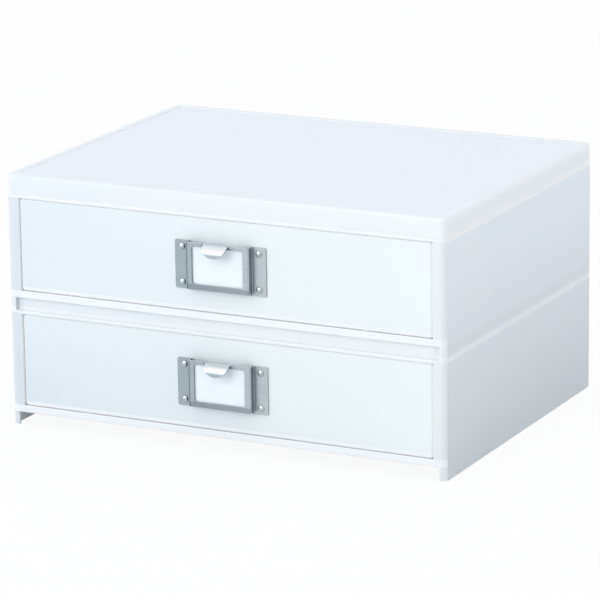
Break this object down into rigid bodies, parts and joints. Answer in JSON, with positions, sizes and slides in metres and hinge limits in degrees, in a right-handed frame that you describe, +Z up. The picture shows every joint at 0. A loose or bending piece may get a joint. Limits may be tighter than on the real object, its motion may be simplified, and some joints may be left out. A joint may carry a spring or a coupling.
{
  "type": "desktop file drawer",
  "caption": "Stacking desktop file drawer with sliding trays, steel card pulls and a lift-off top board.",
  "frame": {"origin": "bottom centre of the box that holds the whole object, finger lips included, on the desk", "axes": "+X to the right seen from the front, +Y from the drawer fronts to the back, +Z up"},
  "size_m": [0.344, 0.2714, 0.185],
  "materials": {
    "case_plastic": "milky translucent polypropylene, satin",
    "drawer_plastic": "milky translucent polypropylene, fine matt grain",
    "board_plastic": "milky translucent polypropylene, satin",
    "pull_steel": "bent stainless sheet, satin",
    "rivet_steel": "domed rivets, smooth",
    "washer_steel": "plain washers",
    "card_paper": "blank white label card",
    "clear_film": "clear film over the card"
  },
  "bodies": {
    "lower_unit": {"lower_case": "case_plastic"},
    "upper_unit": {"upper_case": "case_plastic"},
    "top_cover": {"top_board": "board_plastic"},
    "lower_drawer_body": {"lower_drawer": "drawer_plastic", "lower_pull": "pull_steel", "lower_pull_rivet_1": "rivet_steel", "lower_pull_rivet_2": "rivet_steel", "lower_pull_rivet_3": "rivet_steel", "lower_pull_rivet_4": "rivet_steel", "lower_rivet_washer_1": "washer_steel", "lower_rivet_washer_2": "washer_steel", "lower_rivet_washer_3": "washer_steel", "lower_rivet_washer_4": "washer_steel", "lower_card_film": "clear_film"},
    "lower_label": {"lower_card": "card_paper"},
    "upper_drawer_body": {"upper_drawer": "drawer_plastic", "upper_pull": "pull_steel", "upper_pull_rivet_1": "rivet_steel", "upper_pull_rivet_2": "rivet_steel", "upper_pull_rivet_3": "rivet_steel", "upper_pull_rivet_4": "rivet_steel", "upper_rivet_washer_1": "washer_steel", "upper_rivet_washer_2": "washer_steel", "upper_rivet_washer_3": "washer_steel", "upper_rivet_washer_4": "washer_steel", "upper_card_film": "clear_film"},
    "upper_label": {"upper_card": "card_paper"}
  },
  "joints": [
    {"name": "upper_unit_lift", "type": "slide", "parent": "lower_unit", "child": "upper_unit", "axis": [0, 0, 1], "range_m": [0, 0.03]},
    {"name": "top_board_lift", "type": "slide", "parent": "upper_unit", "child": "top_cover", "axis": [0, 0, 1], "range_m": [0, 0.03]},
    {"name": "lower_drawer_slide", "type": "slide", "parent": "lower_unit", "child": "lower_drawer_body", "axis": [0, -1, 0], "range_m": [0, 0.19]},
    {"name": "lower_card_slide", "type": "slide", "parent": "lower_drawer_body", "child": "lower_label", "axis": [0, 0, 1], "range_m": [0, 0.04]},
    {"name": "upper_drawer_slide", "type": "slide", "parent": "upper_unit", "child": "upper_drawer_body", "axis": [0, -1, 0], "range_m": [0, 0.19]},
    {"name": "upper_card_slide", "type": "slide", "parent": "upper_drawer_body", "child": "upper_label", "axis": [0, 0, 1], "range_m": [0, 0.04]}
  ]
}
